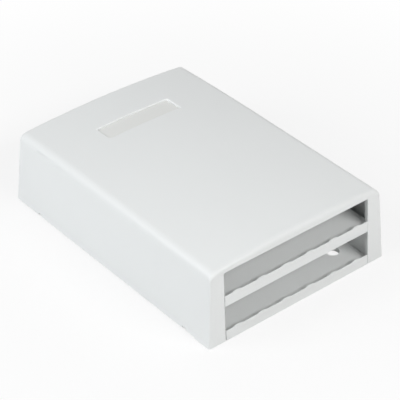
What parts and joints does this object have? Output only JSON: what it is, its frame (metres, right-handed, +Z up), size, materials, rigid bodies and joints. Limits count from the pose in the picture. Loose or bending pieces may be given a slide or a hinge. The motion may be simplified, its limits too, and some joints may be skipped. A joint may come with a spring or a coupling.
{
  "type": "surface mount jack box",
  "caption": "Low surface mount box with a lift-off crowned cover, two front rows of open bays for snap-in jack modules, a label recess and a tray base.",
  "frame": {"origin": "middle of the footprint at the height of the mounting surface, under the centre of the box", "axes": "+Z up from the mounting surface, -Y out of the front with the bays, +X to the right seen from the front"},
  "size_m": [0.1248, 0.1735, 0.0484],
  "materials": {
    "cover_plastic": "fine satin moulded, white",
    "base_plastic": "fine satin moulded, white",
    "spool_plastic": "satin moulded, white",
    "screw_zinc": "bright zinc plated",
    "label_paper": "matt card"
  },
  "bodies": {
    "base": {"base": "base_plastic", "bay_shelf": "base_plastic", "shelf_screw_left": "screw_zinc", "shelf_screw_right": "screw_zinc", "slack_spool": "spool_plastic", "spool_screw": "screw_zinc"},
    "cover": {"cover": "cover_plastic", "label_card": "label_paper"}
  },
  "joints": [
    {"name": "cover_lift", "type": "slide", "parent": "base", "child": "cover", "axis": [0, 0, 1], "range_m": [0, 0.06]}
  ]
}
